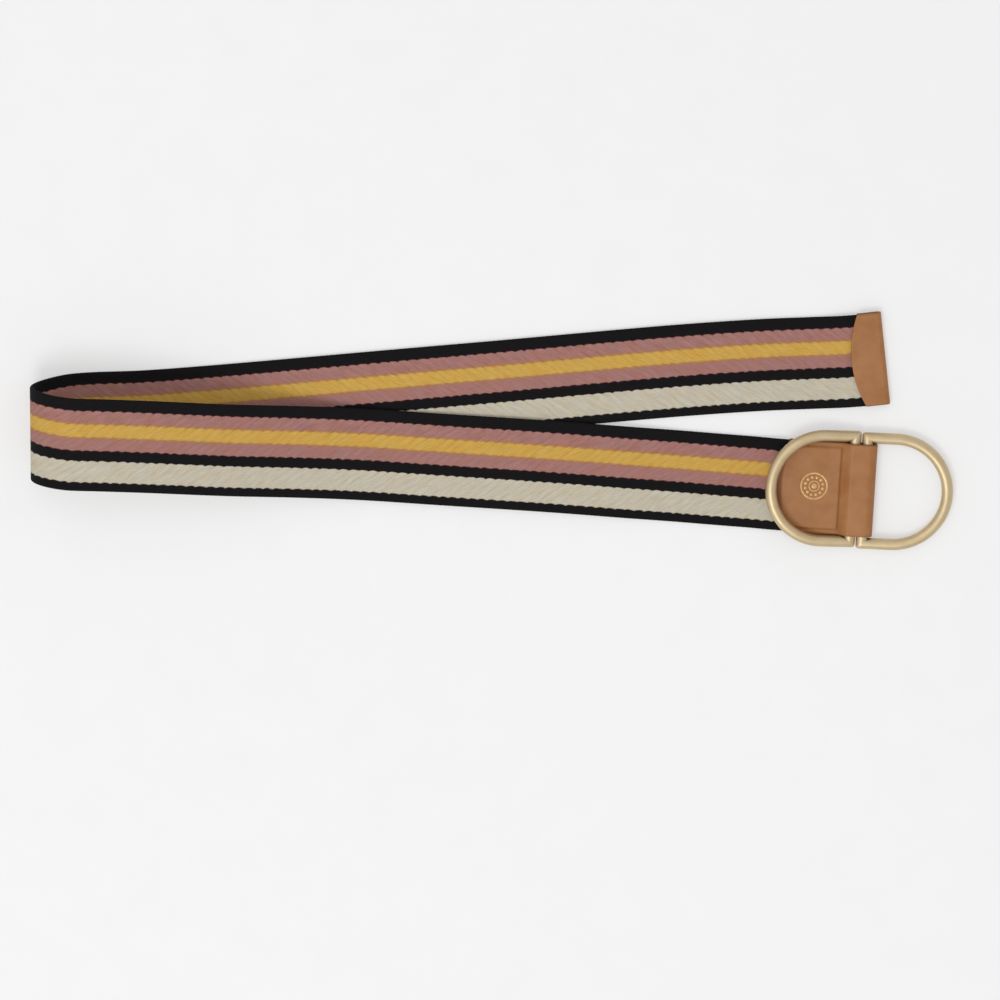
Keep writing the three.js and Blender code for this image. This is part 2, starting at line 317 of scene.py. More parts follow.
class Layout:
    """Derived places of the belt's pieces in millimetres, from the settings."""

    def __init__(self):
        strap, leather, rings = strap_settings(), leather_settings(), ring_settings()
        self.width = strap.width / MM
        self.thickness = strap.thickness / MM
        self.leather = leather.thickness / MM
        self.leather_width = leather.width / MM
        self.tip_bow, self.tab_bow = leather.tip_bow / MM, leather.tab_bow / MM
        self.tip_length = leather.tip_length / MM
        self.tab_length = leather.tab_length / MM
        self.lift = leather.panel_lift / MM
        self.radius = rings.wire / MM / 2
        self.play = rings.play / MM
        self.corner = rings.corner / MM
        slot = self.thickness + 2 * GAP
        self.leaf_top = 2 * self.leather + slot
        self.bar_height = self.leather + GAP + self.radius
        self.nose_bend = self.tab_length - self.leather - GAP - self.radius
        self.outer_bar = self.nose_bend - NOSE_SLACK
        self.inner_bar = self.outer_bar - 2 * self.radius - BAR_SPACE
        self.ramp_end = self.inner_bar - self.radius / 2
        self.ramp_start = self.ramp_end - LOOP_RAMP
        self.ring_half = self.leather_width / 2 + self.play + self.radius
        self.arc_centre = rings.depth / MM - self.radius - (self.ring_half + self.radius)
        self.tail = Leg(TAIL_ANGLE, FOLD_STEP / 2, TAIL_LENGTH, TAIL_WAVES, self.width)
        self.front = Leg(FRONT_ANGLE, -FOLD_STEP / 2, FRONT_LENGTH, FRONT_WAVES, self.width)
        self.tip_start = TAIL_LENGTH - self.tip_length
        self.tab_start = FRONT_LENGTH - self.tab_length
        self.shift = self.frame_shift()

    def frame_shift(self):
        """Move from the layout to the frame, taken at the outer ring's hinge."""
        joints = frame["record"]["behaviour"]["joints"]
        hinge = next(j for j in joints if j["name"] == "outer_ring_hinge")
        here = self.end_matrix(self.front, self.tab_start, TAB_TURN) @ Vector((
            self.outer_bar, OUTER_SLIP * self.play, self.bar_height,
        ))
        return Vector(hinge["pos_m"]) / MM - here

    def end_matrix(self, leg, start, turn):
        place = Matrix.Translation(leg.point(start, 0))
        return place @ Matrix.Rotation(leg.angle + turn, 4, "Z")

    def to_frame(self):
        return Matrix.Scale(MM, 4) @ Matrix.Translation(self.shift)

    def tip_matrix(self):
        return self.to_frame() @ self.end_matrix(self.tail, self.tip_start, TIP_TURN)

    def tab_matrix(self):
        return self.to_frame() @ self.end_matrix(self.front, self.tab_start, TAB_TURN)

    def parting(self):
        """Distance at which the front half no longer lies over the tail."""
        distance = FOLD_REACH
        while distance < FRONT_LENGTH:
            spread = self.tail.point(distance, 0).y - self.front.point(distance, 0).y
            if spread >= self.width + GAP:
                break
            distance += 1
        return distance


def eased_height(drops, distance):
    """Height of the strap after a row of drops (from, over, high, low)."""
    height = drops[0][2]
    for start, over, high, low in drops:
        t = min(max((distance - start) / over, 0.0), 1.0)
        height += (low - high) * (1 - math.cos(math.pi * t)) / 2
    return height


def strap_stations(layout, step):
    """Evenly spaced stations along the strap: arc length, point, direction across, normal."""
    half = layout.thickness / 2
    in_leather = layout.leather + GAP + half
    crest = FOLD_HEIGHT - half
    tail_drops = ((layout.tip_start - LEATHER_CLIMB, LEATHER_CLIMB, half, in_leather),)
    front_drops = (
        (FOLD_REACH, CREST_FALL, crest, layout.thickness + GAP + half),
        (layout.parting(), TAIL_FALL, layout.thickness + GAP + half, half),
        (layout.tab_start - LEATHER_CLIMB, LEATHER_CLIMB, half, in_leather),
    )
    tail_end = TAIL_LENGTH - layout.leather - GAP - WEB_SETBACK
    front_end = layout.tab_start + layout.inner_bar - layout.radius - WEB_SETBACK
    line = []
    fine = 1.0
    count = math.ceil((tail_end - FOLD_REACH) / fine)
    for i in range(count + 1):
        d = tail_end + (FOLD_REACH - tail_end) * i / count
        line.append((layout.tail.point(d, eased_height(tail_drops, d)), layout.tail.heading(d)))
    turns = 96
    half_height, half_length = (crest - half) / 2, FOLD_REACH - half
    for i in range(1, turns):
        part = i / turns
        turn = math.pi * (part - 0.5)
        d = FOLD_REACH - half_length * math.cos(turn)
        height = half + half_height * (1 + math.sin(turn))
        blend = part * part * (3 - 2 * part)
        point = layout.tail.point(d, height).lerp(layout.front.point(d, height), blend)
        heading = TAIL_ANGLE + (FRONT_ANGLE - TAIL_ANGLE) * blend
        line.append((point, heading))
    count = math.ceil((front_end - FOLD_REACH) / fine)
    for i in range(count + 1):
        d = FOLD_REACH + (front_end - FOLD_REACH) * i / count
        line.append((layout.front.point(d, eased_height(front_drops, d)), layout.front.heading(d)))
    reach = [0.0]
    for before, after in zip(line, line[1:]):
        reach.append(reach[-1] + (after[0] - before[0]).length)
    total = reach[-1]
    count = round(total / step)
    stations = []
    at = 0
    for i in range(count + 1):
        s = total * i / count
        while at < len(reach) - 2 and reach[at + 1] < s:
            at += 1
        t = (s - reach[at]) / (reach[at + 1] - reach[at])
        point = line[at][0].lerp(line[at + 1][0], t)
        heading = line[at][1] + (line[at + 1][1] - line[at][1]) * t
        stations.append((s, point, heading))
    rows = []
    for i, (s, point, heading) in enumerate(stations):
        ahead = stations[min(i + 2, count)][1] - stations[max(i - 2, 0)][1]
        across = Vector((-math.sin(heading), math.cos(heading), 0))
        rows.append((s, point, across, across.cross(ahead).normalized()))
    return rows, total


def mesh_piece(name, points, faces, places=None):
    """New object from points in metres, with a UV place in metres for each point."""
    mesh = bpy.data.meshes.new(name)
    mesh.from_pydata(points, [], faces)
    if places:
        layer = mesh.uv_layers.new(name="surface")
        corners = [0] * len(mesh.loops)
        mesh.loops.foreach_get("vertex_index", corners)
        layer.data.foreach_set("uv", [part for corner in corners for part in places[corner]])
    mesh.shade_smooth()
    mesh.update()
    piece = bpy.data.objects.new(name, mesh)
    bpy.context.scene.collection.objects.link(piece)
    return piece


def skin_faces(rows, sides, closed):
    """Quads between like outlines; open rows get a cap at both ends."""
    faces = []
    for row in range(rows if closed else rows - 1):
        above = (row + 1) % rows * sides
        for side in range(sides):
            after = (side + 1) % sides
            faces.append((row * sides + side, row * sides + after, above + after, above + side))
    if not closed:
        faces.append(tuple(range(sides - 1, -1, -1)))
        faces.append(tuple((rows - 1) * sides + side for side in range(sides)))
    return faces


def rounded_section(width, thickness, radius, outer, inner, bends):
    """Outline of a flat strip: (side, height) from +side over the top, round and back under."""
    w, t = width / 2 - radius, thickness / 2 - radius
    section = []
    section += [(w - 2 * w * i / outer, thickness / 2) for i in range(outer + 1)]
    for i in range(1, bends):
        turn = math.pi / 2 + math.pi / 2 * i / bends
        section.append((-w + radius * math.cos(turn), t + radius * math.sin(turn)))
    section += [(-width / 2, t), (-width / 2, -t)] if t > 0.01 else [(-width / 2, 0)]
    for i in range(1, bends):
        turn = math.pi + math.pi / 2 * i / bends
        section.append((-w + radius * math.cos(turn), -t + radius * math.sin(turn)))
    section += [(-w + 2 * w * i / inner, -thickness / 2) for i in range(inner + 1)]
    for i in range(1, bends):
        turn = -math.pi / 2 + math.pi / 2 * i / bends
        section.append((w + radius * math.cos(turn), -t + radius * math.sin(turn)))
    section += [(width / 2, -t), (width / 2, t)] if t > 0.01 else [(width / 2, 0)]
    for i in range(1, bends):
        turn = math.pi / 2 * i / bends
        section.append((w + radius * math.cos(turn), t + radius * math.sin(turn)))
    return section


class Nodes:
    """Short hand for building a material's nodes."""

    def __init__(self, name):
        self.material = bpy.data.materials.new(name)
        self.material.use_nodes = True
        self.tree = self.material.node_tree
        self.shader = self.tree.nodes["Principled BSDF"]

    def link(self, value, socket):
        if isinstance(value, bpy.types.NodeSocket):
            self.tree.links.new(value, socket)
        else:
            socket.default_value = value

    def math(self, operation, *values):
        node = self.tree.nodes.new("ShaderNodeMath")
        node.operation = operation
        for value, socket in zip(values, node.inputs):
            self.link(value, socket)
        return node.outputs[0]

    def mix(self, factor, first, second, blend="MIX"):
        node = self.tree.nodes.new("ShaderNodeMix")
        node.data_type, node.blend_type = "RGBA", blend
        self.link(factor, node.inputs["Factor"])
        for value, socket in ((first, node.inputs[6]), (second, node.inputs[7])):
            self.link((*value, 1) if isinstance(value, tuple) else value, socket)
        return node.outputs[2]

    def surface(self):
        """Place on the surface in metres: along and across."""
        node = self.tree.nodes.new("ShaderNodeUVMap")
        node.uv_map = "surface"
        split = self.tree.nodes.new("ShaderNodeSeparateXYZ")
        self.link(node.outputs[0], split.inputs[0])
        return split.outputs[0], split.outputs[1]

    def vector(self, x, y, z=0.0):
        node = self.tree.nodes.new("ShaderNodeCombineXYZ")
        for value, socket in zip((x, y, z), node.inputs):
            self.link(value, socket)
        return node.outputs[0]

    def stretched(self, first, by_first, second, by_second, depth=0.0):
        """Place with its own stretch in each of two directions."""
        x = self.math("MULTIPLY", first, by_first)
        y = self.math("MULTIPLY", second, by_second)
        return self.vector(x, y, depth)

    def noise(self, place, scale, detail=3.0, roughness=0.55):
        node = self.tree.nodes.new("ShaderNodeTexNoise")
        self.link(place, node.inputs["Vector"])
        node.inputs["Scale"].default_value = scale
        node.inputs["Detail"].default_value = detail
        node.inputs["Roughness"].default_value = roughness
        return node.outputs["Fac"]

    def object_place(self):
        return self.tree.nodes.new("ShaderNodeTexCoord").outputs["Object"]

    def range(self, value, low, high, to_low=0.0, to_high=1.0):
        node = self.tree.nodes.new("ShaderNodeMapRange")
        for item, socket in zip((value, low, high, to_low, to_high), node.inputs):
            self.link(item, socket)
        return node.outputs[0]

    def ramp(self, value, stops):
        node = self.tree.nodes.new("ShaderNodeValToRGB")
        self.link(value, node.inputs[0])
        elements = node.color_ramp.elements
        while len(elements) > 1:
            elements.remove(elements[-1])
        elements[0].position, elements[0].color = stops[0][0], (*stops[0][1], 1)
        for position, tint in stops[1:]:
            elements.new(position).color = (*tint, 1)
        return node.outputs[0]

    def bump(self, height, distance, strength=1.0, normal=None):
        node = self.tree.nodes.new("ShaderNodeBump")
        node.inputs["Strength"].default_value = strength
        node.inputs["Distance"].default_value = distance
        self.link(height, node.inputs["Height"])
        if normal is not None:
            self.link(normal, node.inputs["Normal"])
        return node.outputs[0]

    def finish(self, base, roughness, normal, **plain):
        self.link(base, self.shader.inputs["Base Color"])
        self.link(roughness, self.shader.inputs["Roughness"])
        if normal is not None:
            self.link(normal, self.shader.inputs["Normal"])
        for name, value in plain.items():
            self.shader.inputs[name.replace("_", " ")].default_value = value
        return self.material


def blended(first, second, part):
    return tuple(a + (b - a) * part for a, b in zip(first, second))


def woven_material(settings):
    """Lengthwise stripes in a warp-faced twill, with toothed meetings between colours."""
    n = Nodes("striped_twill")
    along, down = n.surface()
    width = settings.width
    lean = width * TWILL_LEAN / settings.rib_pitch
    ribs = n.math("DIVIDE", along, settings.rib_pitch)
    phase = n.math("ADD", ribs, n.math("MULTIPLY", down, lean))
    drift = n.noise(n.stretched(along, 70.0, down, 3.0), 1.0)
    phase = n.math("ADD", phase, n.math("MULTIPLY", drift, 0.8))
    saw = n.math("FRACT", phase)
    tooth = n.math("SINE", n.math("MULTIPLY", n.math("POWER", saw, 0.6), math.pi))
    wander = n.noise(n.stretched(along, 420.0, down, 30.0), 1.0)
    depth = settings.tooth_depth / width
    shift = n.math("MULTIPLY", n.math("SUBTRACT", tooth, 0.6), depth)
    shift = n.math("ADD", shift, n.math("MULTIPLY", n.math("SUBTRACT", wander, 0.5), depth * 1.6))
    place = n.math("ADD", down, shift)
    palette = {key: tuple(getattr(settings, key)) for key in ("black", "pink", "yellow", "cream")}
    base = n.ramp(place, stripe_stops(palette))
    yarns = width / settings.yarn_pitch
    column = n.math("MULTIPLY", down, yarns)
    twill = n.noise(n.stretched(phase, 2.6, down, 11.0), 1.0, 2.0)
    cloud = n.noise(n.stretched(phase, 0.9, down, 7.0, 5.0), 1.0)
    base = n.mix(n.range(cloud, 0.42, 0.66, 0.0, 0.3), base, (0.5, 0.33, 0.24), "SOFT_LIGHT")
    base = n.mix(n.range(cloud, 0.58, 0.34, 0.0, 0.25), base, (0.47, 0.5, 0.62), "SOFT_LIGHT")
    groove = n.math("ABSOLUTE", n.math("SUBTRACT", n.math("MULTIPLY", saw, 2.0), 1.0))
    groove = n.math("POWER", groove, 4.0)
    round_yarn = n.math("ABSOLUTE", n.math("SINE", n.math("MULTIPLY", column, math.pi)))
    fine = n.noise(n.stretched(along, 1500.0, column, 1.6), 1.0)
    calm = n.range(place, 0.27, 0.29, 1.0, 0.6)
    dark = n.math("ADD", n.math("MULTIPLY", n.range(twill, 0.3, 0.7, -0.13, 0.13), calm), 1.0)
    # Painted shade: darker in the grooves between the twill ribs and between the round yarns
    dark = n.math("SUBTRACT", dark, n.math("MULTIPLY", groove, 0.07))
    dark = n.math("SUBTRACT", dark, n.math("MULTIPLY", n.math("SUBTRACT", 1.0, round_yarn), 0.08))
    dark = n.math("ADD", dark, n.range(fine, 0.3, 0.7, -0.1, 0.1))
    tone = n.vector(dark, dark, dark)
    base = n.mix(1.0, base, tone, "MULTIPLY")
    height = n.math("ADD", n.math("MULTIPLY", round_yarn, 0.4), n.math("MULTIPLY", groove, -0.5))
    height = n.math("ADD", height, n.math("MULTIPLY", fine, 0.5))
    height = n.math("ADD", height, n.math("MULTIPLY", twill, 0.5))
    normal = n.bump(height, 0.0002, 0.8)
    return n.finish(base, 0.9, normal, Specular_IOR_Level=0.15)


def stripe_stops(palette):
    """Stops of the ramp across the strap, with the mixed tints where some stripes meet."""
    maroon = blended(palette["black"], srgb(96, 34, 42), 0.3)
    amber = blended(palette["pink"], srgb(168, 120, 62), 0.7)
    edge, wide = 0.007, 0.02
    stops = [(0.0, palette["black"])]
    for (limit, here), (_, after) in zip(STRIPES, STRIPES[1:]):
        pair = {here, after}
        if pair == {"black", "pink"}:
            side = -1 if here == "black" else 1
            centre = limit + side * edge
            blend, reach = maroon, edge
        elif pair == {"pink", "yellow"}:
            side = 1 if here == "pink" else -1
            centre = limit - side * wide * 0.4
            blend, reach = amber, wide
        else:
            stops += [(limit - edge / 2, palette[here]), (limit + edge / 2, palette[after])]
            continue
        first, last = centre - reach, centre + reach
        stops += [(first, palette[here]), (centre, blend), (last, palette[after])]
    return stops


def leather_material(settings, name="tan_leather", panel=None):
    """Smooth tan leather with fine grain, soft mottling and darker worked edges.

    A panel adds a painted shade line along the crease at the first of its lengths along the leather,
    and a painted shade margin past the second, on a bow whose radius is the third.
    """
    n = Nodes(name)
    along, across = n.surface()
    place = n.object_place()
    tan = tuple(settings.tan)
    cloud = n.noise(place, 90.0, 4.0)
    deep, light = blended(tan, (0, 0, 0), 0.1), blended(tan, (1, 0.8, 0.55), 0.05)
    base = n.mix(n.range(cloud, 0.3, 0.7), deep, light)
    pores = n.tree.nodes.new("ShaderNodeTexVoronoi")
    pores.inputs["Scale"].default_value = 1500.0
    n.link(place, pores.inputs["Vector"])
    pit = n.range(pores.outputs["Distance"], 0.0, 0.5)
    base = n.mix(n.range(pit, 0.0, 0.5, 0.12, 0.0), base, blended(tan, (0, 0, 0), 0.6))
    aside, half = n.math("ABSOLUTE", across), settings.width / 2
    rim = n.range(aside, half - 0.0012, half - 0.0002)
    # Dark brown for the worked edges, also used for the painted shade in the crease and past the panel
    worked_edge_and_shade_tint = blended(tan, srgb(84, 48, 26), 0.8)
    base = n.mix(n.math("MULTIPLY", rim, 0.4), base, worked_edge_and_shade_tint)
    if panel:
        crease, edge, curve = panel
        # Painted shade: a dark line along the crease at the panel's end, where shade falls in the fold
        away = n.math("ABSOLUTE", n.math("SUBTRACT", along, crease))
        inside = n.range(aside, half - 0.001, half - 0.003)
        line = n.math("MULTIPLY", n.range(away, 0.0012, 0.0002, 0.0, 0.25), inside)
        base = n.mix(line, base, worked_edge_and_shade_tint)
        # Painted shade: past the panel the leaf is darkened towards dark brown, where shade falls
        # beside the rings
        bow = n.math("DIVIDE", n.math("MULTIPLY", across, across), 2 * curve)
        past = n.math("ADD", along, bow)
        base = n.mix(n.range(past, edge - 0.0003, edge + 0.0008, 0.0, PAINTED_SHADE_PAST_PANEL), base, worked_edge_and_shade_tint)
    fine = n.noise(place, 2600.0, 2.0)
    height = n.math("ADD", pit, n.math("MULTIPLY", fine, 0.5))
    normal = n.bump(height, 0.00006, 0.5)
    normal = n.bump(cloud, 0.0006, 0.25, normal)
    roughness = n.range(cloud, 0.3, 0.7, 0.42, 0.56)
    return n.finish(base, roughness, normal, Specular_IOR_Level=0.45)


def gold_material(settings):
    """Satin pale gold plating with faint rubbed lines along the wire."""
    n = Nodes("satin_pale_gold")
    along, round_wire = n.surface()
    gold = tuple(settings.gold)
    rub = n.noise(n.stretched(along, 260.0, round_wire, 4200.0), 1.0)
    cloud = n.noise(n.object_place(), 120.0)
    deep = blended(gold, srgb(190, 164, 118), 0.35)
    base = n.mix(n.range(cloud, 0.35, 0.65), gold, deep)
    roughness = n.range(rub, 0.3, 0.7, settings.roughness - 0.05, settings.roughness + 0.08)
    normal = n.bump(rub, 0.00002, 0.3)
    return n.finish(base, roughness, normal, Metallic=1.0)


def foil_material(settings):
    """Dull foil pressed into the leather's grain."""
    n = Nodes("pressed_foil")
    place = n.object_place()
    foil = tuple(settings.foil)
    wear = n.noise(place, 700.0, 4.0)
    base = n.mix(n.range(wear, 0.45, 0.7), foil, blended(foil, srgb(165, 114, 72), 0.7))
    grain = n.noise(place, 2600.0, 2.0)
    return n.finish(base, 0.42, n.bump(grain, 0.00005, 0.5), Metallic=0.55)


def make_strap():
    """The woven strap: one long closed strip with twill ribs and toothed edges."""
    settings, layout = strap_settings(), Layout()
    pitch = settings.rib_pitch / MM
    rib = settings.rib_height / MM
    rows, total = strap_stations(layout, pitch / ROWS_PER_RIB)
    body = layout.thickness - rib
    columns = STRAP_COLUMNS
    section = rounded_section(layout.width, body, body / 2 - EDGE_FLAT, columns, columns, 3)
    matrix = layout.to_frame()
    points, places = [], []
    lean = TWILL_LEAN / pitch
    for s, centre, across, inward in rows:
        for side, height in section:
            down = layout.width / 2 - side
            ridge = math.cos(2 * math.pi * (s / pitch + down * lean))
            fade = min(max(abs(height) / (body / 2), 0.0), 1.0)
            lift = math.copysign(rib / 2 * ridge * fade, height)
            swing = EDGE_SWING * (1 - fade)
            scallop = swing * math.cos(2 * math.pi * s / pitch)
            point = centre + across * (side - math.copysign(swing, side))
            point += across * math.copysign(scallop, side) + inward * (height + lift)
            points.append(matrix @ point)
            places.append((s * MM, down / layout.width))
    piece = mesh_piece("woven_strap", points, skin_faces(len(rows), len(section), False), places)
    piece.data.materials.append(woven_material(settings))
    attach(piece, "belt")
    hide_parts("web_strap")


def measured(path):
    """A path of (x, z) points with its running length."""
    reach = [0.0]
    for (x0, z0), (x1, z1) in zip(path, path[1:]):
        reach.append(reach[-1] + math.hypot(x1 - x0, z1 - z0))
    return path, reach


def path_place(path, reach, q):
    """Point and outward normal of a measured path at the running length q."""
    low, high = 0, len(reach) - 1
    while high - low > 1:
        middle = (low + high) // 2
        if reach[middle] <= q:
            low = middle
        else:
            high = middle
    (x0, z0), (x1, z1) = path[low], path[low + 1]
    span = reach[low + 1] - reach[low]
    t = (q - reach[low]) / span
    dx, dz = (x1 - x0) / span, (z1 - z0) / span
    return x0 + (x1 - x0) * t, z0 + (z1 - z0) * t, dz, -dx


def wrapped_leather(name, layout, path, matrix, bows, raise_top, step, margin=lambda x: 0.0):
    """Leather bent along a path of its middle, with rounded rims and its own bow at each end.

    The path runs from the lower leaf's free end to the upper one's. raise_top(x, y) lifts the upper
    leaf's top, and margin(x) widens the lower leaf.
    """
    path, reach = measured(path)
    total = reach[-1]
    half = layout.leather_width / 2
    curves = [(half * half + bow * bow) / (2 * bow) for bow in bows]
    section = rounded_section(layout.leather_width, layout.leather, LEATHER_RIM, 72, 24, 4)
    ends = list(THINNED_ENDS)
    thinned = ends[-1][0]
    count = math.ceil((total - 2 * thinned) / step)
    inner = [thinned + (total - 2 * thinned) * i / count for i in range(1, count)]
    rows = ends + [(q, 1.0) for q in inner] + [(total - q, thin) for q, thin in reversed(ends)]
    points, places = [], []
    for q, thin in rows:
        end = 0 if q < total / 2 else 1
        curve, calm = curves[end], BOW_FADE * bows[end]
        for side, height in section:
            inset = curve - math.sqrt(max(curve * curve - min(abs(side), half) ** 2, 0))
            near = min(q, total - q)
            pushed = inset + near * (calm - inset) / calm if near < calm else near
            at = total - pushed if end else pushed
            x, z, nx, nz = path_place(path, reach, at)
            out = height * thin
            upper = at > total / 2
            lift = raise_top(x, side) if height > 0 and upper else 0.0
            wide = side if upper else side * (1 + margin(x) / half)
            points.append(matrix @ Vector((x + nx * out, wide, z + nz * (out + lift))))
            places.append((at * MM, side * MM))
    return mesh_piece(name, points, skin_faces(len(rows), len(section), False), places)


def round_bend(x, z, radius, steps):
    """Points of a half turn from below to above, round (x, z)."""
    turns = (-math.pi / 2 + math.pi * i / steps for i in range(steps + 1))
    return [(x + radius * math.cos(t), z + radius * math.sin(t)) for t in turns]


def make_tip():
    """The leather tip on the tail."""
    layout = Layout()
    middle = layout.leather / 2
    bend = layout.leaf_top / 2 - middle
    nose = layout.tip_length - layout.leaf_top / 2
    path = [(0, middle), *round_bend(nose, layout.leaf_top / 2, bend, 16)]
    path.append((0, layout.leaf_top - middle))
    matrix, bows = layout.tip_matrix(), (layout.tip_bow, layout.tip_bow)
    piece = wrapped_leather(
        "leather_tip", layout, path, matrix, bows, lambda x, y: 0.0, TIP_ROW_STEP
    )
    piece.data.materials.append(leather_material(leather_settings()))
    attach(piece, "belt")
    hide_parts("tail_tip")


def make_tab():
    """The leather tab with its loop for the rings and its raised panel."""
    settings, layout = leather_settings(), Layout()
    middle = layout.leather / 2
    bend = layout.radius + GAP + middle
    path = [(0, middle), *round_bend(layout.nose_bend, layout.bar_height, bend, 32)]
    high, low = layout.bar_height + bend, layout.leaf_top - middle
    steps = 24
    for i in range(steps + 1):
        t = i / steps
        x = layout.ramp_end + (layout.ramp_start - layout.ramp_end) * t
        path.append((x, high + (low - high) * (0.7 * t + 0.3 * (1 - math.cos(math.pi * t)) / 2)))
    path.append((-TAB_OVERHANG, low))
    bevel = settings.panel_bevel / MM
    side_limit = layout.leather_width / 2 - PANEL_SIDE_INSET
    end_limit = layout.ramp_start - PANEL_FLAT
    bow = layout.tab_bow
    curve = (side_limit**2 + bow**2) / (2 * bow)

    def raise_top(x, y):
        if abs(y) >= side_limit:
            return 0.0
        start = PANEL_END_INSET + curve - math.sqrt(curve * curve - y * y)
        inside = min(x - start, side_limit - abs(y), end_limit - x)
        if inside <= 0:
            return 0.0
        return layout.lift * math.sqrt(1 - (1 - min(inside / bevel, 1)) ** 2)

    def margin(x):
        opening = (x - LEAF_MARGIN_START) / LEAF_MARGIN_EASE
        closing = (layout.ramp_start + LEAF_MARGIN_PAST_RAMP - x) / LEAF_MARGIN + 1
        return LEAF_MARGIN * min(max(min(opening, closing), 0.0), 1.0)

    matrix = layout.tab_matrix()
    bows = bow, bow + TAB_OVERHANG
    piece = wrapped_leather(
        "ring_tab_leather", layout, path, matrix, bows, raise_top, TAB_ROW_STEP, margin
    )
    # The material paints shade along the crease at the panel's end and on the margin past the panel
    origin = measured(path)[1][-1] - TAB_OVERHANG
    panel = (origin - end_limit) * MM, (origin - PANEL_END_INSET) * MM, curve * MM
    piece.data.materials.append(leather_material(settings, "creased_tan_leather", panel))
    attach(piece, "belt")
    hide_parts("ring_tab")


def low_dome(x, y, radius, height, sides, rings):
    """Points and faces of a low round dome on z = 0."""
    points, faces = [], []
    for ring in range(rings):
        turn = math.pi / 2 * ring / rings
        for side in range(sides):
            angle = 2 * math.pi * side / sides
            reach = radius * math.cos(turn)
            flat = x + reach * math.cos(angle), y + reach * math.sin(angle)
            points.append((*flat, height * math.sin(turn)))
    points.append((x, y, height))
    for ring in range(rings - 1):
        for side in range(sides):
            after = (side + 1) % sides
            a = ring * sides
            faces.append((a + side, a + after, a + sides + after, a + sides + side))
    top = (rings - 1) * sides
    faces += [(top + side, top + (side + 1) % sides, len(points) - 1) for side in range(sides)]
    faces.append(tuple(range(sides - 1, -1, -1)))
    return points, faces


def low_ring(radius, line, height, sides, bends):
    """Points and faces of a low rounded ring on z = 0."""
    points, faces = [], []
    for side in range(sides):
        angle = 2 * math.pi * side / sides
        for bend in range(bends):
            turn = 2 * math.pi * bend / bends
            reach = radius + line / 2 * math.cos(turn)
            flat = reach * math.cos(angle), reach * math.sin(angle)
            points.append((*flat, height * math.sin(turn)))
    for side in range(sides):
        for bend in range(bends):
            a, b = side * bends, (side + 1) % sides * bends
            after = (bend + 1) % bends
            faces.append((a + bend, b + bend, b + after, a + after))
    return points, faces


def make_ornament():
    """A small generic rosette on the panel: a ring, a ring of beads and a boss."""
    settings, layout = bpy.context.scene.belt_ornament, Layout()
    outer = settings.diameter / MM / 2
    line = settings.line / MM
    relief = settings.relief / MM
    parts = [low_ring(outer - line / 2, line, relief, 96, 12)]
    beads = settings.beads
    row, bead = outer * BEAD_ROW, outer * BEAD_RADIUS
    for i in range(beads):
        angle = 2 * math.pi * (i + 0.5) / beads
        x, y = row * math.cos(angle), row * math.sin(angle)
        parts.append(low_dome(x, y, bead, relief, 20, 5))
    parts.append(low_ring(outer * INNER_RING_RADIUS, line * 0.7, relief, 64, 12))
    parts.append(low_dome(0, 0, outer * BOSS_RADIUS, relief * 1.3, 32, 6))
    base = layout.leaf_top + layout.lift - ROSETTE_SINK
    place = layout.tab_matrix() @ Matrix.Translation((*ROSETTE_PLACE, base))
    points, faces = [], []
    for some, over in parts:
        start = len(points)
        points += [place @ Vector(point) for point in some]
        faces += [tuple(start + corner for corner in face) for face in over]
    piece = mesh_piece("tab_rosette", points, faces)
    piece.data.materials.append(foil_material(settings))
    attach(piece, "belt")


def line_points(start, end, steps):
    """Points from one place up to but not including another."""
    (x0, y0), (x1, y1) = start, end
    return [(x0 + (x1 - x0) * i / steps, y0 + (y1 - y0) * i / steps) for i in range(steps)]


def arc_points(x, y, radius, start, end, steps):
    """Points round part of a circle, from one angle up to but not including another."""
    turns = (start + (end - start) * i / steps for i in range(steps))
    return [(x + radius * math.cos(turn), y + radius * math.sin(turn)) for turn in turns]


def ring_line(layout, out):
    """One line along a D-ring's skin, moved outwards from the middle of the wire."""
    half, centre, quarter = layout.ring_half + out, layout.arc_centre, math.pi / 2
    corner = max(layout.corner + CORNER_SPREAD * out, TIGHTEST_CORNER)
    points = line_points((-out, corner - half), (-out, half - corner), 24)
    points += arc_points(corner - out, half - corner, corner, 2 * quarter, quarter, 12)
    points += line_points((corner - out, half), (centre, half), 6)
    points += arc_points(centre, 0, half, quarter, -quarter, 96)
    points += line_points((centre, -half), (corner - out, -half), 6)
    points += arc_points(corner - out, corner - half, corner, 3 * quarter, 2 * quarter, 12)
    return points


def make_ring(name, body, node, bar, slip, angle):
    """One D-ring of round wire, on its bar in the tab's loop."""
    settings, layout = ring_settings(), Layout()
    sides = 40
    turns = [2 * math.pi * side / sides for side in range(sides)]
    lines = [ring_line(layout, layout.radius * math.cos(turn)) for turn in turns]
    middle = ring_line(layout, 0.0)
    place = layout.tab_matrix() @ Matrix.Translation((bar, slip * layout.play, layout.bar_height))
    place = place @ Matrix.Rotation(angle, 4, "Y")
    points, places = [], []
    run = 0.0
    for i, here in enumerate(middle):
        for line, turn in zip(lines, turns):
            points.append(place @ Vector((*line[i], layout.radius * math.sin(turn))))
            places.append((run * MM, turn * layout.radius * MM))
        run += math.dist(here, middle[(i + 1) % len(middle)])
    piece = mesh_piece(name, points, skin_faces(len(middle), sides, True), places)
    material = bpy.data.materials.get("satin_pale_gold") or gold_material(settings)
    piece.data.materials.append(material)
    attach(piece, body)
    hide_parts(node)


